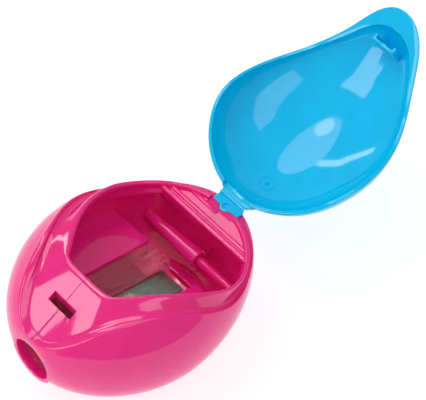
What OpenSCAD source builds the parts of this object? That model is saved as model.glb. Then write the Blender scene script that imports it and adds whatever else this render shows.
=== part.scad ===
// Egg-shaped pencil sharpener with a hinged lid.
// The body is a clamshell of two moulded halves that meet on the plane x = 0.
// Origin: middle of the flat underside. Front (pencil hole) at -Y, hinge at +Y, up is +Z.
// The lid is drawn closed and then turned back about the hinge to its open rest pose.

/* [Egg] */
// Half width of the egg
egg_w = 23.1; // [21:0.1:25]
// Length from the egg's centre to its front end
egg_front = 26.9; // [25:0.1:29]
// Length from the egg's centre to its rear end
egg_rear = 31.1; // [29:0.1:33]
// Height of the widest level above the underside
egg_z = 15.7; // [15:0.1:16.5]
// Height from the widest level to the crown
egg_up = 17.2; // [16:0.1:18.5]
// Depth from the widest level to the bottom, before the flat is cut
egg_down = 17.35; // [17:0.05:18]
// Distance of the egg's centre in front of the origin
egg_y = -1.4; // [-2:0.1:0]
// Wall thickness of the two halves
wall = 1.5; // [1.2:0.1:2]

/* [Lid] */
// Wall thickness of the lid
lid_wall = 1.1; // [0.8:0.1:1.4]
// Height of the closed lid's crown above the underside
lid_top = 33.6; // [32:0.1:35]
// Angle between the open and the closed lid
lid_swing = 152; // [140:1:155]
// Gap between the closed lid's rim and its seat
lid_gap = 0.3; // [0.2:0.05:0.4]
// Width of the living hinge
hinge_w = 7.5; // [6:0.1:8]

/* [Sharpener] */
// Diameter of the pencil hole in the body
mouth_d = 9.8; // [9.4:0.1:10.2]
// Bore for the pencil in the sharpener block
pencil_d = 8.2; // [8:0.1:8.6]
// Height of the pencil's axis
pencil_z = 14; // [13.5:0.1:14.5]
// Half angle of the sharpened cone
cone_angle = 12; // [11.5:0.1:12.5]
// Width of the sharpener block
block_w = 15; // [14.6:0.1:15]
// Blade length
blade_l = 24; // [23:0.5:24]
// Blade width
blade_w = 7.2; // [6.8:0.1:7.2]
// Blade thickness
blade_t = 0.5; // [0.4:0.05:0.6]

/* [Hidden] */
$fn = 48;

pink = [0.93, 0.19, 0.51];
blue = [0.16, 0.68, 0.92];

plan_power = 1.9;          // how full the egg is in plan
side_power = 2.15;         // how full the egg is in its side view
step = 0.7;                // height of the shoulder around the lid's seat
seat_w = 1.3;              // level part of the seat, under the lid's rim
levels = 9;                // rings of facets up the body's side
centre = [0, egg_y];

hinge = [0, 29.2, 20];     // crease of the living hinge
web_t = 0.4;               // thickness of the living hinge
anchor_w = hinge_w;
anchor_t = 0.9;
anchor_z = 19.4;           // top of the anchor tab
anchor_y = [26.9, 28.95];  // front and rear ends of the anchor tab
boss_r = 1.45;             // round boss in the middle of the tab's front edge
pocket = 0.15;             // room beside the anchor tab

apex_y = 2;                // where the sharpened cone comes to a point
slope = tan(cone_angle);
cone_l = pencil_d / 2 / slope;
block_front = -25;
block_rear = 12.5;
block_base = 8.2;
edge_x = -0.2;             // the blade's cutting edge, beside the middle plane
blade_rear = 8.7;
blade_mid = [edge_x + blade_w / 2, blade_rear - blade_l / 2 * cos(cone_angle)];

mouth_y = -27.2;           // flat that the pencil hole opens on
deck_x = block_w / 2 + 0.1;
deck_rear = [11.8, 13.0];  // y and z of the deck's rear edge
slot_y = [-19.3, -17.3];   // latch slot, front and rear
slot_w = 6.8;
hook_z = 24.4;             // lower end of the latch hook, when the lid is shut
hook_top = lid_top - 3.6;  // where the hook is inside the lid's wall
tube = [18, 10];           // y and z of the cross tube
tube_end = 14.8;           // how far the tube and its pin run out, into the side walls
tube_r = [1.25, 2.08];     // radius of the tube at the wall and at its open end
pin_r = 1;                 // radius of the pin that enters the tube
floor_z = wall;

// Half outlines in plan, as cubic curves from the rear round to the front.
lid_curves = [
    [[0, 28.4], [10.5, 28.4], [20.2, 19.3], [20.2, 8.5]],
    [[20.2, 8.5], [20.2, -1.4], [13.3, -9.7], [8.9, -18.9]],
    [[8.9, -18.9], [6.9, -22.9], [4.4, -26.2], [0, -26.2]]];
mouth_curves = [
    [[0, 25.9], [8.5, 25.9], [17.4, 19.5], [17.4, 10.5]],
    [[17.4, 10.5], [16.5, 1], [9.5, -7], [6.5, -11]],
    [[6.5, -11], [6.1, -11.3], [3, -11.3], [0, -11.3]]];

function cubic(p, t) = pow(1 - t, 3) * p[0] + 3 * t * pow(1 - t, 2) * p[1]
    + 3 * t * t * (1 - t) * p[2] + pow(t, 3) * p[3];
function trace(curves, n) = concat(
    [for (c = curves) for (i = [0:n - 1]) cubic(c, i / n)],
    [curves[len(curves) - 1][3]]);
function smooth(t) = let (s = max(0, min(1, t))) s * s * (3 - 2 * s);
function arch(a, p) = pow(max(0, 1 - pow(abs(a), p)), 1 / p);
function cross2(a, b) = a[0] * b[1] - a[1] * b[0];

// Height of the lid's seat, and of the lip round the opening, at distance y along the egg.
function seat_z(y) = 18.6 + 8.9 * smooth((17 - y) / 26) - 5.9 * pow(max(0, -9 - y) / 17, 2);
function lip_z(y) = 20.5 + 8.5 * smooth((20 - y) / 25);

// Radius of the egg from its upright axis in direction d, at height z, thinned by t.
function egg_r(d, t = 0) = let (l = (d[1] < 0 ? egg_front : egg_rear) - t)
    pow(pow(abs(d[0]) / (egg_w - t), plan_power) + pow(abs(d[1]) / l, plan_power), -1 / plan_power);
function egg_g(z, t = 0) = z > egg_z
    ? arch((z - egg_z) / (egg_up - t), side_power)
    : arch((egg_z - z) / (egg_down - t), side_power);

// Height at which the egg's side meets the seat's height, found by halving.
function brim_z(d, lo = 12, hi = 31, n = 14) = n == 0 ? lo :
    let (m = (lo + hi) / 2, y = egg_y + d[1] * egg_r(d) * egg_g(m))
    seat_z(y) > m ? brim_z(d, m, hi, n - 1) : brim_z(d, lo, m, n - 1);

// Distance from the egg's axis to an outline in direction d.
function span(p, q, d) = let (e = q - p, k = cross2(d, e))
    abs(k) < 1e-9 ? 0 : let (t = cross2(p, d) / k) t < -1e-6 || t > 1 + 1e-6 ? 0 : cross2(p, e) / k;
function reach(line, d) = max([for (i = [0:len(line) - 2])
    span(line[i] - centre, line[i + 1] - centre, d)]);

lid_line = trace(lid_curves, 10);
mouth_line = trace(mouth_curves, 10);
dirs = [for (p = lid_line) (p - centre) / norm(p - centre)];
last = len(dirs) - 1;
flip = [[-1, 0], [0, 1]];
// The half skin runs one step past the seam each way.
half_dirs = concat([flip * dirs[1]], dirs, [flip * dirs[last - 1]]);

// One upright section of the wall: [radius, height] from the base, up and over the lip, and back.
function section(e) =
    let (d = [abs(e[0]), e[1]], zb = brim_z(d), rb = egg_r(d) * egg_g(zb),
         rc = min(reach(lid_line, d) + lid_gap, rb - 0.25),
         yc = egg_y + d[1] * rc, zc = seat_z(yc),
         h = step * min(1, (rb - rc) / 1.2) * smooth((yc + 22) / 8),
         rl = reach(mouth_line, d), zl = lip_z(egg_y + d[1] * rl),
         zt = zc - wall, ri = egg_r(d, wall) * egg_g(zt, wall),
         under = [rc - seat_w - wall * 0.8, zc - wall * 0.7])
    concat(
        [[0, 0]],
        [for (k = [0:levels]) let (z = zb * (1 - cos(90 * k / levels))) [egg_r(d) * egg_g(z), z]],
        [[rb - (rb - rc) * 0.4, zc + h * 0.8], [rc + 0.12, zc + h],
         [rc, zc], [rc - seat_w, zc], [rl, zl]],
        [[rl - 0.05, zl - wall * 0.8]],
        [for (t = [0, 0.3, 0.55, 0.8]) (1 - t) * under + t * [ri, zt]],
        [for (k = [levels:-1:0]) let (z = floor_z + (zt - floor_z) * (1 - cos(90 * k / levels)))
            [egg_r(d, wall) * egg_g(z, wall), z]],
        [[0, floor_z]]);

function place(d, p) = [p[0] * d[0], egg_y + p[0] * d[1], p[1]];

// Faces of a skin over n rows of k points, whose first and last points lie on the axis.
function vertex(k, i, j) = j == 0 ? 0 : j == k - 1 ? 1 : 2 + i * (k - 2) + j - 1;
function flat_quad(a, b, c, d) = concat(
    a == b || b == c ? [] : [[a, b, c]],
    c == d || d == a ? [] : [[a, c, d]]);
function skin_faces(k, n, ring) = [for (i = [0:n - (ring ? 1 : 2)]) for (j = [0:k - 2])
    let (m = (i + 1) % n)
    each flat_quad(vertex(k, i, j), vertex(k, m, j), vertex(k, m, j + 1), vertex(k, i, j + 1))];
function cap_faces(k, i, flip) = [for (j = [0:k / 2 - 2])
    let (q = [vertex(k, i, j), vertex(k, i, j + 1), vertex(k, i, k - 2 - j), vertex(k, i, k - 1 - j)])
    each flip ? flat_quad(q[3], q[2], q[1], q[0]) : flat_quad(q[0], q[1], q[2], q[3])];

module skin(rows, dirs, ring) {
    k = len(rows[0]);
    n = len(rows);
    points = concat([place([0, 0], rows[0][0]), place([0, 0], rows[0][k - 1])],
        [for (i = [0:n - 1]) for (j = [1:k - 2]) place(dirs[i], rows[i][j])]);
    faces = ring ? skin_faces(k, n, true)
        : concat(skin_faces(k, n, false), cap_faces(k, 0, false), cap_faces(k, n - 1, true));
    polyhedron(points = points, faces = faces, convexity = 8);
}

// A prism across the body: an outline in the Y-Z plane, run from x0 to x1.
module across(x0, x1, outline) {
    translate([x0, 0, 0]) rotate([90, 0, 90]) linear_extrude(x1 - x0) polygon(outline);
}
module rod(x0, x1, y, z, r) {
    translate([x0, y, z]) rotate([0, 90, 0]) cylinder(h = x1 - x0, r = r);
}

// Moulded features inside the right half; the left half mirrors them.
function deck_z(y) = deck_rear[1] + (deck_rear[0] - y) * slope;

module deck() {
    edge = [for (d = dirs) let (p = centre + d * (egg_r(d, wall) + 0.4))
        if (p[1] < deck_rear[0] && p[0] > deck_x + 0.5) p];
    front = -12.5;
    intersection() {
        linear_extrude(30) polygon(concat([[deck_x, deck_rear[0]]],
            [[edge[0][0], deck_rear[0]]], [for (p = edge) if (p[1] > front) p],
            [[deck_x, front]]));
        union() {
            across(deck_x, 30, [[front, deck_z(front)], [deck_rear[0], deck_rear[1]],
                [deck_rear[0], deck_rear[1] - wall], [front, deck_z(front) - wall]]);
            across(deck_x, deck_x + 1.2, [[front, deck_z(front)], [deck_rear[0], deck_rear[1]],
                [deck_rear[0], floor_z - 0.2], [front, floor_z - 0.2]]);
        }
    }
}

module ledge() {
    rim = [for (d = dirs) let (p = centre + d * (reach(mouth_line, d) + 0.5)) if (p[1] > 21) p];
    x1 = rim[len(rim) - 1][0] + 0.5;
    intersection() {
        linear_extrude(30) polygon(concat([[-1, 20.7], [-1, rim[0][1]]], rim, [[x1 + 0.2, 20.7]]));
        across(-1, 30, [[20.7, 19.15], [26.5, 19.85], [26.5, 18.3], [20.7, 17.6]]);
    }
    rod(-1, x1, 20.85, 18.85, 0.65);
    rod(-1, x1 - 2, 22.2, 19.1, 0.55);
    across(-1, x1, [[20.25, 18.85], [21.3, 18.85], [21.1, 16.6], [20.4, 16.6]]);
}

module tray() {
    // A low D-shaped stand on the floor behind the sharpener block, with a raised edge.
    across(-1, 7, [[14.9, 2], [14.9, 4.1], [15.5, 4.1], [15.5, 2]]);
    intersection() {
        translate([-1, 15.3, 2]) cube([8, 4, 5]);
        translate([0, 5.65, 0]) difference() {
            cylinder(h = 3.8, r = 12.4);
            translate([0, 0, 3.4]) cylinder(h = 5, r = 11.7);
        }
    }
}

module block_ribs() {
    low = floor_z - 0.2;
    for (y = [-9, 7]) across(-1, deck_x + 0.1,
        [[y - 0.6, low], [y - 0.6, block_base], [y + 0.6, block_base], [y + 0.6, low]]);
}

module mouth_collar() {
    intersection() {
        translate([0, -23, pencil_z]) rotate([90, 0, 0]) cylinder(h = 4, r = mouth_d / 2 + 1);
        translate([-1, -40, 0]) cube([20, 20, 30]);
    }
}

module shell_half() {
    difference() {
        union() {
            skin([for (d = half_dirs) section(d)], half_dirs, false);
            deck();
            ledge();
            tray();
            block_ribs();
            mouth_collar();
        }
        translate([0, -20, pencil_z]) rotate([90, 0, 0]) cylinder(h = 12, d = mouth_d);
        translate([-1, mouth_y - 10, 0]) cube([12, 10, 30]);
        translate([-1, slot_y[0], 20]) cube([slot_w / 2 + 1, slot_y[1] - slot_y[0], 12]);
        // The anchor's pocket, and the break in the lip above it.
        translate([-1, anchor_y[0] - pocket, anchor_z - anchor_t]) cube([anchor_w / 2 + pocket + 1, 6, 4]);
        translate([0, anchor_y[0] + 0.4, anchor_z - anchor_t]) cylinder(h = 4, r = boss_r + pocket);
        translate([-1, 25, anchor_z]) cube([anchor_w / 2 + pocket + 1, 6, 4]);
        translate([-20, -40, -1]) cube([20, 80, 40]);
    }
}

module right_shell() {
    color(pink) {
        shell_half();
        rod(-1.2, tube_end, tube[0], tube[1], pin_r);
    }
}

module left_shell() {
    color(pink) {
        mirror([1, 0, 0]) shell_half();
        difference() {
            translate([-tube_end, tube[0], tube[1]]) rotate([0, 90, 0])
                cylinder(h = tube_end + 1.8, r1 = tube_r[0], r2 = tube_r[1]);
            rod(-2.5, 2, tube[0], tube[1], pin_r + 0.1);
        }
        // A low step on the ledge, in front of the anchor.
        translate([-7.6, 24.1, 18.8]) cube([7.6, 0.9, 1.05]);
    }
}

function top_z(y) = pencil_z + (apex_y - y) * slope;

module sharpener_block() {
    seat = blade_rear - blade_l * cos(cone_angle) - 0.4;
    color([0.85, 0.9, 0.93, 0.45])
    difference() {
        union() {
            across(-block_w / 2, block_w / 2, [[seat - 4, block_base], [seat - 4, top_z(seat) + 0.8],
                [seat, top_z(seat) + 0.8], [seat, top_z(seat)],
                [block_rear, top_z(block_rear)], [block_rear, block_base]]);
            translate([0, seat - 3.9, pencil_z]) rotate([90, 0, 0])
                cylinder(h = seat - 3.9 - block_front, d = mouth_d - 0.6);
        }
        translate([0, apex_y - cone_l + 0.01, pencil_z]) rotate([90, 0, 0]) cylinder(h = 12, d = pencil_d);
        translate([0, apex_y, pencil_z]) rotate([90, 0, 0])
            cylinder(h = cone_l, r1 = 0, r2 = pencil_d / 2);
        // The tip's relief hole and the window over the cone, beside the cutting edge.
        translate([0, block_rear + 1, pencil_z - 2]) rotate([90, 0, 0]) cylinder(h = 12, r = 1.1);
        translate([0, 0, pencil_z - 0.2]) linear_extrude(9) polygon([[edge_x + 0.6, apex_y - cone_l],
            [-pencil_d / 2 + 0.1, apex_y - cone_l], [-0.9, apex_y + 0.6], [edge_x + 0.6, apex_y + 0.6]]);
        // Steps moulded in the rear end, on the side away from the blade.
        for (i = [0:2]) translate([-6.2 + 1.7 * i, 8.2 + 0.9 * i, 11]) cube([0.9, 6, 5]);
        // The block stops short behind the blade, over the stand.
        translate([-1.3, blade_rear + 0.6, 0]) cube([block_w, block_w, 20]);
        // Pilot hole for the blade screw.
        on_blade() translate([0, 0, -4]) cylinder(h = 5, r = 0.85, $fn = 24);
    }
}

// Frame on the blade's seat: origin under the middle of the blade, x across it, y along it.
module on_blade() {
    translate([blade_mid[0], blade_mid[1], top_z(blade_mid[1])]) rotate([-cone_angle, 0, 0]) children();
}

module blade() {
    bevel = 1.1;
    color([0.55, 0.58, 0.55])
    on_blade() difference() {
        translate([0, blade_l / 2, 0]) rotate([90, 0, 0]) linear_extrude(blade_l) polygon([
            [-blade_w / 2, 0], [blade_w / 2, 0], [blade_w / 2, blade_t],
            [-blade_w / 2 + bevel, blade_t], [-blade_w / 2, 0.08]]);
        translate([0, 0, -1]) cylinder(h = 3, r = 1.3, $fn = 32);
    }
}

module blade_screw() {
    color([0.72, 0.72, 0.7])
    on_blade() difference() {
        union() {
            translate([0, 0, -3.6]) cylinder(h = 3.6 + blade_t, r = 0.85, $fn = 24);
            translate([0, 0, blade_t]) cylinder(h = 1, r1 = 2.1, r2 = 1.7, $fn = 32);
        }
        translate([-2.5, -0.25, blade_t + 0.5]) cube([5, 0.5, 1]);
    }
}

// Width of the lid's rim: narrow along the sides, a broad flange at the tip.
function rim_w(y) = 0.9 + 3.2 * pow(max(0, min(1, (-8 - y) / 17.8)), 2);

function lid_section(d) =
    let (e = [abs(d[0]), d[1]], r0 = reach(lid_line, e),
         y0 = egg_y + d[1] * r0, z0 = seat_z(y0) + lid_gap,
         r1 = r0 - rim_w(y0), z1 = seat_z(egg_y + d[1] * r1) + lid_gap, n = 8)
    concat(
        [[0, lid_top - lid_wall]],
        [for (k = [n - 1:-1:0]) let (a = 90 * k / n)
            [r1 * cos(a), z1 + (lid_top - lid_wall - z1) * sin(a)]],
        [for (k = [0:n - 1]) let (a = 90 * k / n) [r0 * cos(a), z0 + (lid_top - z0) * sin(a)]],
        [[0, lid_top]]);

module closed_lid() {
    n = len(dirs);
    loop = concat(dirs, [for (i = [n - 2:-1:1]) [-dirs[i][0], dirs[i][1]]]);
    neck_z = hinge[2] + 0.25;
    difference() {
        skin([for (d = loop) lid_section(d)], loop, true);
        // Notch that clears the anchor tab when the lid is shut.
        translate([-anchor_w / 2 - 0.4, 24.4, 10]) cube([anchor_w + 0.8, 12, neck_z - 10]);
    }
    // Neck from the rim to the crease.
    translate([0, 0, neck_z]) linear_extrude(1) polygon([[-5.2, 27], [-hinge_w / 2, hinge[1] - 0.35],
        [hinge_w / 2, hinge[1] - 0.35], [5.2, 27]]);
    // Latch hook: a flat tongue whose ends turn towards the tip, with a small catch between them.
    hook_x = (slot_w - 0.6) / 2;
    end_y = slot_y[0] + 0.35;
    front_y = slot_y[1] - 0.75;
    rear_y = slot_y[1] - 0.2;
    inner_x = hook_x - 0.6;
    translate([0, 0, hook_z]) linear_extrude(hook_top - hook_z) polygon([
        [-hook_x, rear_y], [hook_x, rear_y], [hook_x, end_y], [inner_x, end_y],
        [inner_x, front_y], [-inner_x, front_y], [-inner_x, end_y], [-hook_x, end_y]]);
    across(-0.5, 0.5, [[front_y + 0.1, hook_z + 0.1], [front_y - 0.3, hook_z + 0.5],
        [front_y + 0.1, hook_z + 1.4]]);
}

module lid() {
    color(blue)
    translate(hinge) rotate([-lid_swing, 0, 0]) translate(-hinge) closed_lid();
}

module living_hinge() {
    color([0.45, 0.8, 0.95]) {
        rod(-hinge_w / 2, hinge_w / 2, hinge[1], hinge[2], web_t / 2);
        across(-hinge_w / 2, hinge_w / 2, [[anchor_y[1], anchor_z - anchor_t], [anchor_y[1], anchor_z],
            [hinge[1] - web_t / 2, hinge[2]], [hinge[1] + web_t / 2, hinge[2]],
            [anchor_y[1] + web_t, anchor_z - anchor_t]]);
    }
}

module hinge_anchor() {
    boss_y = anchor_y[0] + 0.4;
    color([0.24, 0.7, 0.93])
    difference() {
        translate([0, 0, anchor_z - anchor_t]) union() {
            translate([-anchor_w / 2, anchor_y[0], 0]) cube([anchor_w, anchor_y[1] - anchor_y[0], anchor_t]);
            translate([0, boss_y, 0]) cylinder(h = anchor_t, r = boss_r);
        }
        translate([0, boss_y, anchor_z - 0.5]) cylinder(h = 1, r = boss_r - 0.5);
    }
}

left_shell();
right_shell();
sharpener_block();
blade();
blade_screw();
lid();
living_hinge();
hinge_anchor();
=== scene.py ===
import math

import bmesh
import bpy
import numpy as np
from mathutils import Matrix, Vector


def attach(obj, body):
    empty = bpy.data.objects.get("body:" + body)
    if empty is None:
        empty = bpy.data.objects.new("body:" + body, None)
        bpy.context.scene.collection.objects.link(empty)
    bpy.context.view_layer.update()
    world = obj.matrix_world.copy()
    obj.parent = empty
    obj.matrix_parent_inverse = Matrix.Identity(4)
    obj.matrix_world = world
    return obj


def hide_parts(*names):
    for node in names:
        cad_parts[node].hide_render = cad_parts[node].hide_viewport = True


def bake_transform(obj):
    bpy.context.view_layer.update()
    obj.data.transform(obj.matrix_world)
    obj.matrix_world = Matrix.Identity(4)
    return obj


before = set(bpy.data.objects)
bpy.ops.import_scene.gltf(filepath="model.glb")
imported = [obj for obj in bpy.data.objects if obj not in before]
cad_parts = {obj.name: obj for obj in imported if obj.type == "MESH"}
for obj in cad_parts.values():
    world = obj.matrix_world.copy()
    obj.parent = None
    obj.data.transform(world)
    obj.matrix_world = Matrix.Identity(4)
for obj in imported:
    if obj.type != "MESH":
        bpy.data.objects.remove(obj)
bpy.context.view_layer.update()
scene = bpy.context.scene
MM = 0.001

# ---------------------------------------------------------------- dimensions
# Millimetres, in the frame of the CAD: +Y from the pencil hole to the hinge, +Z up.
EGG_W = 23.1                        # half width of the egg
EGG_FRONT, EGG_REAR = 26.9, 31.1    # from the egg's centre to its ends
EGG_Y = -1.4                        # the egg's centre
EGG_Z = 15.7                        # its widest level
EGG_UP, EGG_DOWN = 17.2, 17.35      # from there to the full egg's ends; the body is flat at z 0
PLAN_P, SIDE_P = 1.9, 2.15          # exponents: how full the egg is in plan and from the side
WALL = 1.5
FLOOR_Z = WALL
STEP = 0.7                          # height of the shoulder around the lid's seat
STEP_W = 1.2                        # rim width at which the shoulder has its full height
SEAT_W = 1.3                        # level part of the seat
SEAM = 0.1                          # how far the seam's edges are drawn in
SEAM_DEGREES = (0.4, 0.65)          # extra rows beside the seam keep its edges crisp

LID_TOP, LID_WALL, LID_GAP = 33.6, 1.1, 0.3
LID_SWING = math.radians(152)
HINGE = np.array([0, 29.2, 20.0])   # crease of the living hinge
HINGE_W = 7.5
NECK_Z = HINGE[2] + 0.25            # underside of the lid's neck, lid shut
WEB_T = 0.34                        # thickness of the bending web
ANCHOR_Y, ANCHOR_Z, ANCHOR_T = (26.9, 28.95), 19.4, 0.9
BOSS_Y, BOSS_R = ANCHOR_Y[0] + 0.4, 1.45
POCKET = 0.12                       # room beside the anchor tab
LIP_BREAK_Y = 25.0                  # behind this the lip is cut away for the hinge
GATE_Y = 21.5                       # moulding mark inside the lid

SLOT_Y, SLOT_W = (-19.3, -17.3), 6.8      # the latch slot
HOOK_Z, HOOK_TOP = 24.4, LID_TOP - 3.6    # tip and root of the latch hook, lid shut
HOOK_W = SLOT_W - 0.6
HOOK_T = 0.6                        # thickness of the hook's turned ends
PENCIL_Z, PENCIL_R, PENCIL_Y = 14.0, 4.9, -27.2     # the pencil hole's axis, radius and face
BLOCK_W = 15.0
SLOPE = math.tan(math.radians(12))  # the decks slope as the sharpened cone does
DECK_X, DECK_Y, DECK_Z = BLOCK_W / 2 + 0.1, 11.8, 13.0    # inner edge, rear edge, height there
DECK_FRONT = -12.5
RIB_Y, RIB_TOP = (-9, 7), 8.2       # ribs under the sharpener block
LEDGE_Y, LEDGE_Z = 20.9, 18.8       # front edge of the ledge, and the foot of its step
LEDGE_T = 1.5
RIDGES = ((20.85, 18.85, 0.65, 0), (22.2, 19.1, 0.55, 2))   # y, z, radius, stops short by
TUBE_Y, TUBE_Z, TUBE_END = 18.0, 10.0, 14.8     # the cross tube and pin, and their reach
TRAY_X, TRAY_Z = 7.0, 2.0           # half width and underside of the D-shaped stand
TRAY_Y = (14.9, 15.5)               # its straight front bar
TRAY_BAR_TOP, TRAY_PLATE_TOP, TRAY_RIM_TOP = 4.1, 3.4, 3.8
TRAY_ARC_Y, TRAY_R = 5.65, (11.8, 12.4)   # centre and radii of its rim
TRAY_ARC_END = 9.7                  # the rim ends this far behind that centre

# Half outlines in plan of the lid and of the body's opening, as cubic curves from the rear
# round to the front.
LID_CURVES = [
    [(0, 28.4), (10.5, 28.4), (20.2, 19.3), (20.2, 8.5)],
    [(20.2, 8.5), (20.2, -1.4), (13.3, -9.7), (8.9, -18.9)],
    [(8.9, -18.9), (6.9, -22.9), (4.4, -26.2), (0, -26.2)],
]
OPENING_CURVES = [
    [(0, 25.9), (8.5, 25.9), (17.4, 19.5), (17.4, 10.5)],
    [(17.4, 10.5), (16.5, 1), (10.2, -6.4), (7.3, -10)],
    [(7.3, -10), (6.2, -11.35), (4.8, -11.3), (0, -11.3)],
]
LINE_STEPS = 60                     # points on each curve where outlines are measured
EDGE_STEPS = 34                     # points on each curve where surfaces have columns
EGG_LEVELS = 40                     # rings up the egg's side
DOME_LEVELS = 26                    # rings up the lid's dome


# ---------------------------------------------------------------- curve helpers
def trace(curves, n):
    """Points along a chain of cubic curves, n on each, and the last end."""
    out = []
    for c in curves:
        p = np.array(c, float)
        for i in range(n):
            t = i / n
            s = 1 - t
            out.append(s ** 3 * p[0] + 3 * t * s ** 2 * p[1] + 3 * t * t * s * p[2] + t ** 3 * p[3])
    out.append(np.array(curves[-1][3], float))
    return np.array(out)


def smooth(t):
    t = np.clip(t, 0, 1)
    return t * t * (3 - 2 * t)


def softmax(a, b, k):
    """The larger of two numbers, blended over a width k where they meet."""
    return (a + b + math.sqrt((a - b) ** 2 + k * k)) / 2


def seat_z(y):
    """Height of the lid's seat: it rises from the rear to y -9, then dips towards the tip."""
    return 18.6 + 8.9 * smooth((17 - y) / 26) - 5.9 * (max(0.0, -9 - y) / 17) ** 2


def lip_z(y):
    """Height of the lip round the opening, rising from y 20 to y -5."""
    return 20.5 + 8.5 * smooth((20 - y) / 25)


def egg_r(d, t=0.0):
    """Reach of the egg's plan in direction d from its upright axis, thinned by t."""
    length = (EGG_FRONT if d[1] < 0 else EGG_REAR) - t
    return (abs(d[0] / (EGG_W - t)) ** PLAN_P + abs(d[1] / length) ** PLAN_P) ** (-1 / PLAN_P)


def egg_g(z, t=0.0):
    """Scale of the egg's plan at height z, thinned by t: 1 at its widest level, 0 at its ends."""
    h = EGG_UP - t if z > EGG_Z else EGG_DOWN - t
    return max(0.0, 1 - abs((z - EGG_Z) / h) ** SIDE_P) ** (1 / SIDE_P)


def brim_z(d):
    """Height at which the egg's side meets the seat's height, found by halving."""
    lo, hi = 12.0, 31.0
    for _ in range(24):
        m = (lo + hi) / 2
        if seat_z(EGG_Y + d[1] * egg_r(d) * egg_g(m)) > m:
            lo = m
        else:
            hi = m
    return lo


def reach(line, d):
    """Distance from the egg's upright axis to an outline, in direction d."""
    p = line[:-1] - (0, EGG_Y)
    e = line[1:] - line[:-1]
    d = np.array([abs(d[0]), d[1]])
    k = d[0] * e[:, 1] - d[1] * e[:, 0]
    k = np.where(abs(k) < 1e-9, np.nan, k)
    t = (p[:, 0] * d[1] - p[:, 1] * d[0]) / k
    r = (p[:, 0] * e[:, 1] - p[:, 1] * e[:, 0]) / k
    good = (t >= -1e-6) & (t <= 1 + 1e-6)
    return float(np.nanmax(np.where(good, r, -1)))


def rounded(corners, n=5):
    """A polyline through corners (x, y, radius): each corner between its ends becomes a short curve."""
    pts = [np.array(c[:2], float) for c in corners]
    out = [pts[0]]
    for i in range(1, len(pts) - 1):
        r = corners[i][2]
        a, b, c = pts[i - 1], pts[i], pts[i + 1]
        la, lc = np.linalg.norm(a - b), np.linalg.norm(c - b)
        ra, rc = min(r, la * 0.48), min(r, lc * 0.48)
        p, q = b + (a - b) / la * ra, b + (c - b) / lc * rc
        for k in range(n + 1):
            t = k / n
            out.append((1 - t) ** 2 * p + 2 * t * (1 - t) * b + t * t * q)
    out.append(pts[-1])
    return np.array(out)


LID_LINE = trace(LID_CURVES, LINE_STEPS)
OPENING_LINE = trace(OPENING_CURVES, LINE_STEPS)
# From the egg's axis towards each point of the lid's outline, rear to front.
DIRECTIONS = [p / np.linalg.norm(p) for p in trace(LID_CURVES, EDGE_STEPS) - (0, EGG_Y)]


def in_plan(d, r):
    """The point in plan at distance r from the egg's axis in direction d."""
    return np.array([0, EGG_Y]) + d * r


# ---------------------------------------------------------------- mesh helpers
def new_object(name, verts, faces):
    me = bpy.data.meshes.new(name)
    me.from_pydata([tuple(np.array(v, float) * MM) for v in verts], [], [tuple(f) for f in faces])
    me.update()
    ob = bpy.data.objects.new(name, me)
    scene.collection.objects.link(ob)
    return ob


def recalc(ob):
    bm = bmesh.new()
    bm.from_mesh(ob.data)
    bmesh.ops.remove_doubles(bm, verts=bm.verts, dist=1e-7)
    bmesh.ops.recalc_face_normals(bm, faces=bm.faces)
    bm.to_mesh(ob.data)
    bm.free()
    return ob


def bevelled(ob, width, angle=0.6):
    """Round the edges whose faces turn by more than an angle."""
    bm = bmesh.new()
    bm.from_mesh(ob.data)
    bmesh.ops.recalc_face_normals(bm, faces=bm.faces)
    edges = [e for e in bm.edges if len(e.link_faces) == 2 and e.calc_face_angle(0) > angle]
    bmesh.ops.bevel(bm, geom=edges, offset=width * MM, offset_type="OFFSET", segments=2,
                    profile=0.5, affect="EDGES", clamp_overlap=True)
    bm.to_mesh(ob.data)
    bm.free()
    return ob


def prism(name, bottom, top, bevel):
    """A closed solid between two loops of the same number of points."""
    n = len(bottom)
    faces = [tuple(range(n))[::-1], tuple(range(n, 2 * n))]
    faces += [(i, (i + 1) % n, n + (i + 1) % n, n + i) for i in range(n)]
    ob = recalc(new_object(name, bottom + top, faces))
    return bevelled(ob, bevel) if bevel else ob


def prism_x(name, x0, x1, outline, bevel=0.0):
    """An outline in the Y-Z plane, run across the body from x0 to x1."""
    return prism(name, [(x0, y, z) for y, z in outline], [(x1, y, z) for y, z in outline], bevel)


def prism_z(name, outline, low, high, bevel=0.0):
    """An outline in plan, from heights low to high, each a number or a function of (x, y)."""
    f0 = low if callable(low) else lambda x, y: low
    f1 = high if callable(high) else lambda x, y: high
    bottom = [(x, y, f0(x, y)) for x, y in outline]
    return prism(name, bottom, [(x, y, f1(x, y)) for x, y in outline], bevel)


def lathe(name, profile, axis="Z", centre=(0, 0, 0), n=64):
    """A closed profile of (radius, height), turned about an axis through centre."""
    verts, faces, rings = [], [], []
    for r, h in profile:
        if r < 1e-9:
            rings.append([len(verts)])
            verts.append((0, 0, h))
        else:
            rings.append(list(range(len(verts), len(verts) + n)))
            angles = [2 * math.pi * i / n for i in range(n)]
            verts += [(r * math.cos(a), r * math.sin(a), h) for a in angles]
    for a, b in zip(rings, rings[1:]):
        for i in range(n):
            j = (i + 1) % n
            if len(a) == 1 and len(b) == 1:
                continue
            if len(a) == 1:
                faces.append((a[0], b[i], b[j]))
            elif len(b) == 1:
                faces.append((a[i], b[0], a[j]))
            else:
                faces.append((a[i], b[i], b[j], a[j]))
    turn = {
        "Z": Matrix.Identity(4),
        "Y": Matrix.Rotation(-math.pi / 2, 4, "X"),
        "X": Matrix.Rotation(math.pi / 2, 4, "Y"),
    }[axis]
    ob = new_object(name, verts, faces)
    ob.data.transform(Matrix.Translation(Vector(centre) * MM) @ turn)
    return recalc(ob)


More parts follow.
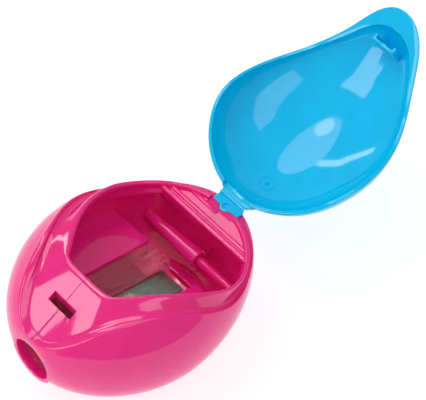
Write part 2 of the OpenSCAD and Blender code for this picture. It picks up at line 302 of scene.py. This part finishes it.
def skin_between(pairs):
    """Faces between pairs of neighbouring rows of points; a doubled point leaves a triangle."""
    faces = []
    for a, b in pairs:
        for j in range(len(a) - 1):
            quad = [a[j], b[j], b[j + 1], a[j + 1]]
            quad = [q for k, q in enumerate(quad) if q not in quad[:k]]
            if len(quad) > 2:
                faces.append(tuple(quad))
    return faces


def apply_modifiers(ob):
    dg = bpy.context.evaluated_depsgraph_get()
    me = bpy.data.meshes.new_from_object(ob.evaluated_get(dg))
    old = ob.data
    ob.modifiers.clear()
    ob.data = me
    bpy.data.meshes.remove(old)
    return ob


def combine(base, parts, operation):
    """Join or cut with each part in turn. The parts are used up."""
    for p in parts:
        m = base.modifiers.new("join", "BOOLEAN")
        m.operation = operation
        m.object = p
        m.solver = "MANIFOLD"
        apply_modifiers(base)
        me = p.data
        bpy.data.objects.remove(p)
        bpy.data.meshes.remove(me)
    return base


def mirrored(ob):
    ob.data.transform(Matrix.Scale(-1, 4, (1, 0, 0)))
    ob.data.flip_normals()
    return ob


def cleaned(ob, distance=3e-6):
    """Merge points that fall together, and drop the doubled slivers that leaves."""
    bm = bmesh.new()
    bm.from_mesh(ob.data)
    bmesh.ops.remove_doubles(bm, verts=bm.verts, dist=distance)
    bmesh.ops.dissolve_degenerate(bm, edges=bm.edges, dist=distance)
    bmesh.ops.triangulate(bm, faces=[f for f in bm.faces if len(f.verts) > 4])
    bmesh.ops.dissolve_degenerate(bm, edges=bm.edges, dist=distance)
    corners = {}
    for f in bm.faces:
        corners.setdefault(frozenset(f.verts), []).append(f)
    doubled = [f for same in corners.values() if len(same) > 1 for f in same]
    bmesh.ops.delete(bm, geom=doubled, context="FACES_ONLY")
    stray = [f for f in bm.faces if all(len(e.link_faces) > 2 for e in f.edges)]
    bmesh.ops.delete(bm, geom=stray, context="FACES_ONLY")
    bmesh.ops.delete(bm, geom=[e for e in bm.edges if not e.link_faces], context="EDGES")
    bmesh.ops.delete(bm, geom=[v for v in bm.verts if not v.link_edges], context="VERTS")
    bm.to_mesh(ob.data)
    bm.free()
    return ob


def shade(ob, degrees=34):
    """Smooth shading, with edges sharper than an angle kept sharp."""
    me = ob.data
    me.polygons.foreach_set("use_smooth", [True] * len(me.polygons))
    me.set_sharp_from_angle(angle=math.radians(degrees))
    me.update()
    return ob


# ---------------------------------------------------------------- body
def shell_section(e):
    """One upright section of the wall, as (radius, height), round from the base to the floor."""
    d = (abs(e[0]), e[1])
    zb = brim_z(d)
    rb = egg_r(d) * egg_g(zb)
    rc = min(reach(LID_LINE, d) + LID_GAP, rb - 0.25)
    yc = EGG_Y + d[1] * rc
    zc = seat_z(yc)
    w = rb - rc
    h = STEP * min(1, w / STEP_W) * smooth((yc + 22) / 8)
    rl = reach(OPENING_LINE, d)
    zl = lip_z(EGG_Y + d[1] * rl)
    zt = zc - WALL
    ri = egg_r(d, WALL) * egg_g(zt, WALL)
    top = zt - 0.6

    base = []
    for k in range(EGG_LEVELS + 1):
        z = zb * (1 - math.cos(math.pi / 2 * k / EGG_LEVELS))
        base.append((egg_r(d) * egg_g(z), z))
    rim = rounded([
        (*base[-2], 0),
        (rb - 0.05 * w, zb + 0.12 * h, min(0.9, 0.6 * w)),      # brim
        (rb - 0.42 * w, zc + h, min(1.0, 0.6 * w)),             # shoulder
        (rc + 0.12, zc + h * 0.92, 0.28),
        (rc, zc, 0.22),                                         # seat
        (rc - SEAT_W, zc + 0.05, 0.7),
        (rl + 1.35, zl - 0.32, 0.8),                            # lip
        (rl + 0.35, zl - 0.12, 0.6),
        (rl, zl - 0.8, 0.5),
        (rl + 0.12, zl - 1.9, 0.3),
        (rc - SEAT_W - 1.2, zc - 1.2, 0.8),                     # underside of the lip
        (ri - 0.2, zt + 0.05, 0.5),
        (egg_r(d, WALL) * egg_g(top, WALL), top, 0),
    ])[1:]
    inner = []
    for k in range(EGG_LEVELS, -1, -1):
        z = FLOOR_Z + (top - FLOOR_Z) * (1 - math.cos(math.pi / 2 * k / EGG_LEVELS))
        inner.append((egg_r(d, WALL) * egg_g(z, WALL), z))
    return np.array([(0, 0)] + base[:-1] + [tuple(p) for p in rim[:-1]] + inner + [(0, FLOOR_Z)])


def inset(loop, amount):
    """Move a section inward, all but its two points on the axis."""
    out = loop.copy()
    for i in range(1, len(loop) - 1):
        t = loop[i + 1] - loop[i - 1]
        length = np.linalg.norm(t)
        if length > 1e-9:
            out[i] = loop[i] + np.array([-t[1], t[0]]) / length * amount
    return out


def body_half(name):
    """The right half of the body as one closed skin, from the rear seam round to the front seam."""
    beside = [math.sin(math.radians(a)) for a in SEAM_DEGREES]
    rear = [np.array([s, 1.0]) for s in beside]
    front = [np.array([s, -1.0]) for s in beside[::-1]]
    dirs = [DIRECTIONS[0]] + rear + DIRECTIONS[1:-1] + front + [DIRECTIONS[-1]]
    verts, rows = [(0, EGG_Y, 0), (0, EGG_Y, FLOOR_Z)], []
    for i, d in enumerate(dirs):
        s = shell_section(d)
        seam = i in (0, len(dirs) - 1)
        if seam:
            s = inset(s, SEAM)
        row = [0]
        for r, z in s[1:-1]:
            row.append(len(verts))
            verts.append((0.0 if seam else r * d[0], EGG_Y + r * d[1], z))
        rows.append(row + [1])
    faces = skin_between(zip(rows, rows[1:])) + [tuple(rows[0]), tuple(rows[-1][::-1])]
    # The pencil hole opens on a small flat.
    flattened = [(x, softmax(y, PENCIL_Y, 0.5) if y < -20 and z > 3 else y, z) for x, y, z in verts]
    return recalc(new_object(name, flattened, faces))


def deck_z(y):
    """Height of a deck's top, which falls towards the rear."""
    return DECK_Z + (DECK_Y - y) * SLOPE


def deck():
    """The flat deck beside the sharpener block, and the leg under its inner edge."""
    edge = [tuple(in_plan(d, egg_r(d, WALL) + 0.5)) for d in DIRECTIONS]
    edge = [q for q in edge if DECK_FRONT < q[1] < DECK_Y and q[0] > DECK_X + 0.5]
    outline = [(DECK_X, DECK_Y), (edge[0][0], DECK_Y)] + edge
    outline += [(edge[-1][0], DECK_FRONT), (DECK_X, DECK_FRONT)]
    plate = prism_z("deck", outline, lambda x, y: deck_z(y) - 1.5, lambda x, y: deck_z(y), 0.18)
    rear, low = DECK_Y - 0.02, FLOOR_Z - 0.2
    leg = [(DECK_FRONT, deck_z(DECK_FRONT) - 0.3), (rear, deck_z(DECK_Y) - 0.3),
           (rear, low), (DECK_FRONT, low)]
    return [plate, prism_x("deck_leg", DECK_X + 0.02, DECK_X + 1.2, leg)]


def ledge_z(y):
    """Height of the ledge's top, which rises gently to the rear."""
    return 19.0 + 0.12 * (y - 20.7)


def ledge():
    """In front of the hinge: a flat, two ridges and a short front."""
    rim = [tuple(in_plan(d, reach(OPENING_LINE, d) + 0.6)) for d in DIRECTIONS]
    rim = [q for q in rim if q[1] > LEDGE_Y]
    x1 = rim[-1][0] + 0.4
    outline = [(0.0, LEDGE_Y), (0.0, rim[0][1])] + rim[1:] + [(x1, LEDGE_Y)]
    parts = [prism_z("ledge", outline, lambda x, y: ledge_z(y) - LEDGE_T, lambda x, y: ledge_z(y))]
    for y, z, r, short in RIDGES:
        end = x1 - short
        parts.append(lathe("ridge", [(0, 0), (r, 0), (r, end), (0, end)], "X", (0, y, z), 32))
    front = [(20.25, LEDGE_Z), (21.4, LEDGE_Z), (21.3, 15.9), (20.7, 15.9)]
    parts.append(prism_x("ledge_front", 0, x1, front))
    return parts


def tray():
    """The D-shaped stand on the floor behind the block: a bar, a plate and a rim along its arc."""
    y0, y1 = TRAY_Y
    bar = [(y0, TRAY_Z), (y0, TRAY_BAR_TOP), (y1, TRAY_BAR_TOP), (y1, TRAY_Z)]
    bar = prism_x("tray_bar", 0, TRAY_X, bar, 0.1)
    arcs = []
    for r in TRAY_R:
        angles = np.linspace(0, math.acos(TRAY_ARC_END / r), 24)
        arcs.append([(min(r * math.sin(a), TRAY_X), TRAY_ARC_Y + r * math.cos(a)) for a in angles])
    inner, outer = arcs
    flat = y1 - 0.2
    plate = [(0, flat), (outer[-1][0], flat)] + outer[::-1]
    plate = prism_z("tray_plate", plate, TRAY_Z, TRAY_PLATE_TOP)
    return [bar, plate, prism_z("tray_rim", outer + inner[::-1], TRAY_Z + 0.05, TRAY_RIM_TOP)]


def block_ribs():
    """The two ribs that carry the sharpener block."""
    ribs, low = [], FLOOR_Z - 0.2
    for y in RIB_Y:
        y0, y1 = y - 0.6, y + 0.6
        ribs.append(prism_x("rib", 0, DECK_X + 0.1, [(y0, low), (y0, RIB_TOP), (y1, RIB_TOP), (y1, low)]))
    return ribs


def mouth_collar():
    """A thicker wall round the pencil hole."""
    r = PENCIL_R + 1
    collar = lathe("collar", [(0, 0), (r, 0), (r, 4), (0, 4)], "Y", (0, -27, PENCIL_Z))
    half = prism_x("half", 0, 20, [(-40, 0), (-20, 0), (-20, 30), (-40, 30)])
    return [combine(collar, [half], "INTERSECT")]


def cutters():
    """The pencil hole, the latch slot, the anchor's pocket and boss, and the break in the lip."""
    r, y = PENCIL_R, PENCIL_Y
    hole = lathe("hole", [
        (0, y + 16.5), (r, y + 16.5), (r, y + 0.55), (r + 0.06, y + 0.28), (r + 0.2, y + 0.1),
        (r + 0.42, y - 0.02), (r + 0.8, y - 0.12), (r + 0.8, y - 6), (0, y - 6),
    ], "Y", (0, 0, PENCIL_Z), 96)
    y0, y1 = SLOT_Y
    slot = prism_z("slot", [(-1, y0), (SLOT_W / 2, y0), (SLOT_W / 2, y1), (-1, y1)], 20, 32)
    side, behind = HINGE_W / 2 + POCKET, 34
    low, high = ANCHOR_Z - ANCHOR_T, 24
    y0 = ANCHOR_Y[0] - POCKET
    pocket = prism_z("pocket", [(-1, y0), (side, y0), (side, behind), (-1, behind)], low, high)
    r = BOSS_R + POCKET
    boss = lathe("boss", [(0, low), (r, low), (r, high), (0, high)], "Z", (0, BOSS_Y, 0))
    y0 = LIP_BREAK_Y
    lip = prism_z("lip", [(-1, y0), (side, y0), (side, behind), (-1, behind)], ANCHOR_Z, high)
    return [hole, slot, pocket, boss, lip]


def tube_part():
    """Tube of the cross joint, from the left wall to just past the seam, hollow at its end."""
    profile = [(0, -TUBE_END), (1.25, -TUBE_END), (2.08, 1.6), (1.95, 1.8),
               (1.2, 1.8), (1.1, 1.7), (1.1, -2.5), (0, -2.5)]
    return lathe("tube", profile, "X", (0, TUBE_Y, TUBE_Z))


def pin_part():
    """Pin of the cross joint, from inside the tube to the right wall."""
    profile = [(0, -1.2), (0.85, -1.2), (1, -0.9), (1, TUBE_END), (0, TUBE_END)]
    return lathe("pin", profile, "X", (0, TUBE_Y, TUBE_Z))


def make_shell(name, left):
    """One half of the body, with all that is moulded inside it."""
    half = body_half(name)
    combine(half, deck() + ledge() + tray() + block_ribs() + mouth_collar(), "UNION")
    combine(half, cutters(), "DIFFERENCE")
    if left:
        mirrored(half)
        step = [(-7.6, 24.1), (0, 24.1), (0, LIP_BREAK_Y), (-7.6, LIP_BREAK_Y)]
        combine(half, [tube_part(), prism_z("ledge_step", step, LEDGE_Z, 19.85, 0.08)], "UNION")
    else:
        combine(half, [pin_part()], "UNION")
    return shade(cleaned(half))


# ---------------------------------------------------------------- lid
def rim_w(y):
    """Width of the lid's rim: narrow along the sides, growing to a broad flange at the tip."""
    return 0.9 + 3.2 * np.clip((-8 - y) / 17.8, 0, 1) ** 2


def lid_section(e):
    """One upright section of the closed lid, as (radius, height), from the inner crown to the outer."""
    d = (abs(e[0]), e[1])
    n = DOME_LEVELS
    r0 = reach(LID_LINE, d)
    y0 = EGG_Y + d[1] * r0
    z0 = seat_z(y0) + LID_GAP
    r1 = r0 - rim_w(y0)
    if d[1] < 0:
        r1 = min(r1, (-21.9 - EGG_Y) / d[1])
    z1 = seat_z(EGG_Y + d[1] * r1) + LID_GAP
    inner, outer = [], []
    for k in range(n):
        a = math.pi / 2 * (1 - k / n)
        inner.append((r1 * math.cos(a), z1 + (LID_TOP - LID_WALL - z1) * math.sin(a)))
    for k in range(n):
        a = math.pi / 2 * (k + 1) / n
        outer.append((r0 * math.cos(a), z0 + (LID_TOP - z0) * math.sin(a)))
    edge = rounded([inner[-1] + (0,), (r1, z1, 0.12), (r0, z0, 0.35), outer[0] + (0,)], 4)
    return inner[:-1] + [tuple(p) for p in edge] + outer[1:-1] + [(0, LID_TOP)]


def lid_skin(name):
    loop = DIRECTIONS + [np.array([-d[0], d[1]]) for d in DIRECTIONS[-2:0:-1]]
    verts, rows = [(0, EGG_Y, LID_TOP - LID_WALL), (0, EGG_Y, LID_TOP)], []
    for d in loop:
        first = len(verts)
        verts += [(r * d[0], EGG_Y + r * d[1], z) for r, z in lid_section(d)[1:-1]]
        rows.append([0, *range(first, len(verts)), 1])
    return recalc(new_object(name, verts, skin_between(zip(rows, rows[1:] + rows[:1]))))


def open_lid(ob):
    """Turn a piece drawn on the closed lid back to the open rest pose."""
    h = Vector(HINGE) * MM
    turn = Matrix.Rotation(-LID_SWING, 4, "X")
    ob.data.transform(Matrix.Translation(h) @ turn @ Matrix.Translation(-h))
    return ob


def lid_inside(x, y):
    """Height of the closed lid's inner surface over a point in plan."""
    p = np.array([x, y - EGG_Y])
    r = np.linalg.norm(p)
    d = p / r
    rim = reach(LID_LINE, d)
    y0 = EGG_Y + d[1] * rim
    r1 = rim - rim_w(y0)
    z1 = seat_z(EGG_Y + d[1] * r1) + LID_GAP
    return z1 + (LID_TOP - LID_WALL - z1) * math.sqrt(max(0, 1 - (r / r1) ** 2))


def gate_ring(name):
    """The moulding mark inside the lid: a low ring round a small nub."""
    x, y = 0.001, GATE_Y            # a hair off the middle, clear of the outline's end point
    tilt = math.atan((lid_inside(x, y + 1) - lid_inside(x, y - 1)) / 2)
    ring = lathe(name, [(0, -0.5), (0.4, -0.45), (0.55, 0.5), (1.6, 0.5),
                        (1.75, -0.22), (1.95, -0.22), (2.15, 0.7), (0, 0.7)])
    place = Matrix.Translation(Vector((0, y, lid_inside(x, y))) * MM)
    ring.data.transform(place @ Matrix.Rotation(tilt, 4, "X"))
    return ring


def make_lid():
    """The lid with its neck, latch hook and moulding mark, in its open rest pose."""
    lid = lid_skin("lid_dome")
    side = HINGE_W / 2 + 0.4
    notch = prism_z("notch", [(-side, 24.4), (side, 24.4), (side, 36), (-side, 36)], 10, NECK_Z)
    combine(lid, [notch], "DIFFERENCE")
    side = HINGE_W / 2
    neck = [(side, HINGE[1] - 0.35), (side + 0.15, 28.5), (side + 0.8, 28.15), (5.3, 27.2)]
    neck = prism_z("neck", neck + [(-x, y) for x, y in neck[::-1]], NECK_Z, NECK_Z + 1.0, 0.12)

    # The hook: a flat tongue whose ends turn towards the tip, with a small catch between them.
    x0, x1 = HOOK_W / 2, HOOK_W / 2 - HOOK_T
    ends, front, rear = SLOT_Y[0] + 0.35, SLOT_Y[1] - 0.75, SLOT_Y[1] - 0.2
    hook = [(-x0, rear), (x0, rear), (x0, ends), (x1, ends),
            (x1, front), (-x1, front), (-x1, ends), (-x0, ends)]
    hook = prism_z("hook", hook, HOOK_Z, HOOK_TOP, 0.08)
    catch = [(front + 0.1, HOOK_Z + 0.1), (front - 0.3, HOOK_Z + 0.5), (front + 0.1, HOOK_Z + 1.4)]
    combine(lid, [neck, hook, prism_x("catch", -0.5, 0.5, catch), gate_ring("gate")], "UNION")
    return shade(cleaned(open_lid(lid)), 30)


def make_anchor():
    """The tab that sits in the ledge, with a round boss and a sunk ring in its front edge."""
    a = math.asin((ANCHOR_Y[0] - BOSS_Y) / BOSS_R)
    angles = np.linspace(a, -math.pi - a, 24)
    arc = [(BOSS_R * math.cos(t), BOSS_Y + BOSS_R * math.sin(t)) for t in angles]
    w = HINGE_W / 2
    outline = [(-w, ANCHOR_Y[0]), (-w, ANCHOR_Y[1]), (w, ANCHOR_Y[1]), (w, ANCHOR_Y[0])] + arc
    tab = prism_z("hinge_tab", outline, ANCHOR_Z - ANCHOR_T, ANCHOR_Z, 0.1)
    profile = [(0, -0.45), (0.72, -0.45), (0.8, -0.38), (0.92, 0.02), (0.92, 1), (0, 1)]
    sunk = lathe("sunk", profile, "Z", (0, BOSS_Y, ANCHOR_Z), 48)
    return shade(combine(tab, [sunk], "DIFFERENCE"), 30)


def make_web():
    """The thin bending web, from the tab's rear edge over the crease to the lid's neck."""
    line = np.array([
        (28.6, 19.15), (28.85, 19.2), (29.0, 19.4), (29.08, 19.7), (29.16, 19.95),
        (29.3, 20.03), (29.5, 19.95), (29.75, 19.92), (30.1, 20.0),
    ])
    t = np.gradient(line, axis=0)
    t /= np.linalg.norm(t, axis=1)[:, None]
    n = np.stack([-t[:, 1], t[:, 0]], 1) * WEB_T / 2
    outline = np.concatenate([line + n, (line - n)[::-1]])
    count, strips = len(outline), 12
    w = HINGE_W / 2 - 0.1
    verts = [(x, y, z) for x in np.linspace(-w, w, strips + 1) for y, z in outline]
    faces = [tuple(range(count))[::-1], tuple(range(count * strips, count * (strips + 1)))]
    for k in range(strips):
        a, b = k * count, (k + 1) * count
        faces += [(a + i, a + (i + 1) % count, b + (i + 1) % count, b + i) for i in range(count)]
    return shade(recalc(new_object("hinge_web", verts, faces)), 50)


def soft_edged(node, name, width, clean=True):
    """A copy of a CAD node whose edges have a small bevel."""
    ob = bpy.data.objects.new(name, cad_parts[node].data.copy())
    scene.collection.objects.link(ob)
    bm = bmesh.new()
    bm.from_mesh(ob.data)
    bmesh.ops.remove_doubles(bm, verts=bm.verts, dist=2e-6)
    bmesh.ops.dissolve_limit(bm, angle_limit=math.radians(1), verts=bm.verts, edges=bm.edges)
    bm.to_mesh(ob.data)
    bm.free()
    bevelled(ob, width, 0.5)
    return shade(cleaned(ob) if clean else ob, 30)


# ---------------------------------------------------------------- materials
def nodes_of(name):
    mat = bpy.data.materials.new(name)
    mat.use_nodes = True
    nt = mat.node_tree
    return mat, nt, nt.nodes["Principled BSDF"], nt.nodes.new("ShaderNodeTexCoord").outputs["Object"]


def noise(nt, vector, scale, detail):
    n = nt.nodes.new("ShaderNodeTexNoise")
    n.inputs["Scale"].default_value = scale
    n.inputs["Detail"].default_value = detail
    nt.links.new(vector, n.inputs["Vector"])
    return n.outputs["Fac"]


def tint(nt, bsdf, source, dark, light):
    """Base colour that drifts between two shades with a noise."""
    r = nt.nodes.new("ShaderNodeValToRGB")
    for element, position, colour in zip(r.color_ramp.elements, (0.35, 0.65), (dark, light)):
        element.position = position
        element.color = (*colour, 1)
    nt.links.new(source, r.inputs["Fac"])
    nt.links.new(r.outputs["Color"], bsdf.inputs["Base Color"])


def gloss(nt, bsdf, source, low, high):
    """Roughness that varies between two values with a noise."""
    m = nt.nodes.new("ShaderNodeMapRange")
    m.inputs["From Min"].default_value = 0.3
    m.inputs["From Max"].default_value = 0.7
    m.inputs["To Min"].default_value = low
    m.inputs["To Max"].default_value = high
    nt.links.new(source, m.inputs["Value"])
    nt.links.new(m.outputs["Result"], bsdf.inputs["Roughness"])


def bump(nt, bsdf, source, distance, strength):
    b = nt.nodes.new("ShaderNodeBump")
    b.inputs["Distance"].default_value = distance
    b.inputs["Strength"].default_value = strength
    nt.links.new(source, b.inputs["Height"])
    nt.links.new(b.outputs["Normal"], bsdf.inputs["Normal"])


def moulded(name, dark, light, roughness, sub, sub_radius, sub_scale, ior):
    """Glossy moulded plastic: a faint drift of colour, fine gloss variation and orange peel."""
    mat, nt, bsdf, vector = nodes_of(name)
    tint(nt, bsdf, noise(nt, vector, 160, 2), dark, light)
    gloss(nt, bsdf, noise(nt, vector, 900, 4), roughness * 0.8, roughness * 1.25)
    bump(nt, bsdf, noise(nt, vector, 420, 2), 0.00002, 0.25)
    bsdf.inputs["IOR"].default_value = ior
    bsdf.inputs["Subsurface Weight"].default_value = sub
    bsdf.inputs["Subsurface Radius"].default_value = sub_radius
    bsdf.inputs["Subsurface Scale"].default_value = sub_scale
    return mat


def steel(name, colour, roughness, stretch):
    """Ground metal with a fine grain, drawn out along an axis where stretch is small."""
    mat, nt, bsdf, vector = nodes_of(name)
    mapping = nt.nodes.new("ShaderNodeMapping")
    mapping.inputs["Scale"].default_value = stretch
    nt.links.new(vector, mapping.inputs["Vector"])
    grain = noise(nt, mapping.outputs["Vector"], 500, 4)
    tint(nt, bsdf, grain, tuple(v * 0.8 for v in colour), colour)
    gloss(nt, bsdf, grain, roughness * 0.8, roughness * 1.3)
    bump(nt, bsdf, grain, 0.00001, 0.4)
    bsdf.inputs["Metallic"].default_value = 1.0
    return mat


def clear_plastic(name, dark, light):
    """Clear plastic with a little haze."""
    mat, nt, bsdf, vector = nodes_of(name)
    fine = noise(nt, vector, 700, 3)
    tint(nt, bsdf, noise(nt, vector, 120, 2), dark, light)
    gloss(nt, bsdf, fine, 0.03, 0.09)
    bump(nt, bsdf, fine, 0.00002, 0.2)
    bsdf.inputs["Transmission Weight"].default_value = 0.8
    bsdf.inputs["IOR"].default_value = 1.35
    bsdf.inputs["Alpha"].default_value = 0.4
    return mat


PINK = moulded("pink_plastic", (0.90, 0.012, 0.24), (0.94, 0.017, 0.27), 0.07,
               sub=0.4, sub_radius=(1.0, 0.1, 0.2), sub_scale=0.0016, ior=1.62)
BLUE = moulded("blue_plastic", (0.0, 0.54, 0.90), (0.001, 0.57, 0.94), 0.06,
               sub=0.1, sub_radius=(0.3, 0.8, 1.0), sub_scale=0.001, ior=1.45)
STEEL = steel("blade_steel", (0.30, 0.36, 0.29), 0.34, (6, 0.4, 6))
SCREW = steel("screw_steel", (0.7, 0.66, 0.58), 0.28, (2, 2, 2))
# The block's pink tint is painted reflection of the pink shell round it; the plastic itself is clear. The
# slight drift between the two shades is random tone.
CLEAR_PAINTED_PINK = clear_plastic("clear_plastic", (0.97, 0.48, 0.60), (1.0, 0.56, 0.68))


# ---------------------------------------------------------------- assembly
def dress(ob, mat, body, node):
    """Give a piece its material, hide the node it replaces and, when a body is given, attach it to that
    body.
    """
    ob.data.materials.clear()
    ob.data.materials.append(mat)
    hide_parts(node)
    if body:
        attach(ob, body)
    return ob


dress(make_shell("left_body_half", True), PINK, "body", "left_shell")
dress(make_shell("right_body_half", False), PINK, "body", "right_shell")
dress(make_lid(), BLUE, "lid", "lid")
dress(make_anchor(), BLUE, "body", "hinge_anchor")
web = dress(make_web(), BLUE, None, "living_hinge")
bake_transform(web)

# The block keeps its mesh as it is: merging its close points would open it.
block = soft_edged("sharpener_block", "clear_block", 0.12, clean=False)
dress(block, CLEAR_PAINTED_PINK, "body", "sharpener_block")
dress(soft_edged("blade", "blade_strip", 0.05), STEEL, "body", "blade")
dress(soft_edged("blade_screw", "screw_head", 0.06), SCREW, "body", "blade_screw")

# ---------------------------------------------------------------- floor, light and camera
bpy.ops.mesh.primitive_plane_add(size=4, location=(0, 0, -0.00005))
floor = bpy.context.object
floor.name = "floor"
mat, _, bsdf, _ = nodes_of("floor_white")
bsdf.inputs["Base Color"].default_value = (0.35, 0.35, 0.35, 1)
bsdf.inputs["Roughness"].default_value = 0.7
bsdf.inputs["Emission Color"].default_value = (1, 1, 1, 1)
bsdf.inputs["Emission Strength"].default_value = 0.78
floor.data.materials.append(mat)

world = bpy.data.worlds.new("studio")
scene.world = world
world.use_nodes = True
world.node_tree.nodes["Background"].inputs["Color"].default_value = (1, 1, 1, 1)
world.node_tree.nodes["Background"].inputs["Strength"].default_value = 0.40


def softbox(name, direction, long_side, distance, size, power, shape="RECTANGLE"):
    """An area light towards a direction from the object; its second side runs along long_side."""
    target = (0, 0.01, 0.02)
    data = bpy.data.lights.new(name, "AREA")
    data.shape = shape
    data.size, data.size_y = size
    data.energy = power
    ob = bpy.data.objects.new(name, data)
    scene.collection.objects.link(ob)
    z = Vector(direction).normalized()
    x = Vector(long_side).cross(z).normalized()
    turn = Matrix((x, z.cross(x), z)).transposed().to_4x4()
    ob.matrix_world = Matrix.Translation(Vector(target) + z * distance) @ turn
    ob.visible_camera = False


softbox("key", (-0.32, -0.73, 0.60), (-0.13, 0.45, 0.5), 0.7, (0.2, 0.5), 1.25)
softbox("side", (-0.77, 0.06, 0.64), (0.5, 0.1, 0.6), 0.7, (0.045, 0.34), 0.3)
softbox("lamp", (-0.38, -0.17, 0.91), (0, 1, 0), 0.7, (0.12, 0.1), 0.14, "ELLIPSE")
softbox("fill", (0.45, -0.05, 0.88), (0, 1, 0.05), 0.9, (0.45, 0.5), 1.3)
softbox("top", (-0.42, 0.03, 0.91), (0, 1, -0.03), 0.8, (0.34, 0.5), 1.0, "ELLIPSE")

VIEW_AZIMUTH, VIEW_ELEVATION, VIEW_ROLL = (math.radians(v) for v in (45.325, 52.544, 2.976))
VIEW_FROM = (0.194798, -0.169335, 0.382618)
cam_data = bpy.data.cameras.new("camera")
cam_data.sensor_width = 36
cam_data.lens = 179.11
cam_data.clip_start = 0.01
cam = bpy.data.objects.new("camera", cam_data)
scene.collection.objects.link(cam)
turn = (Matrix.Rotation(VIEW_AZIMUTH, 4, "Z") @ Matrix.Rotation(math.pi / 2 - VIEW_ELEVATION, 4, "X")
        @ Matrix.Rotation(VIEW_ROLL, 4, "Z"))
cam.matrix_world = Matrix.Translation(Vector(VIEW_FROM)) @ turn
scene.camera = cam
scene.view_settings.view_transform = "Standard"
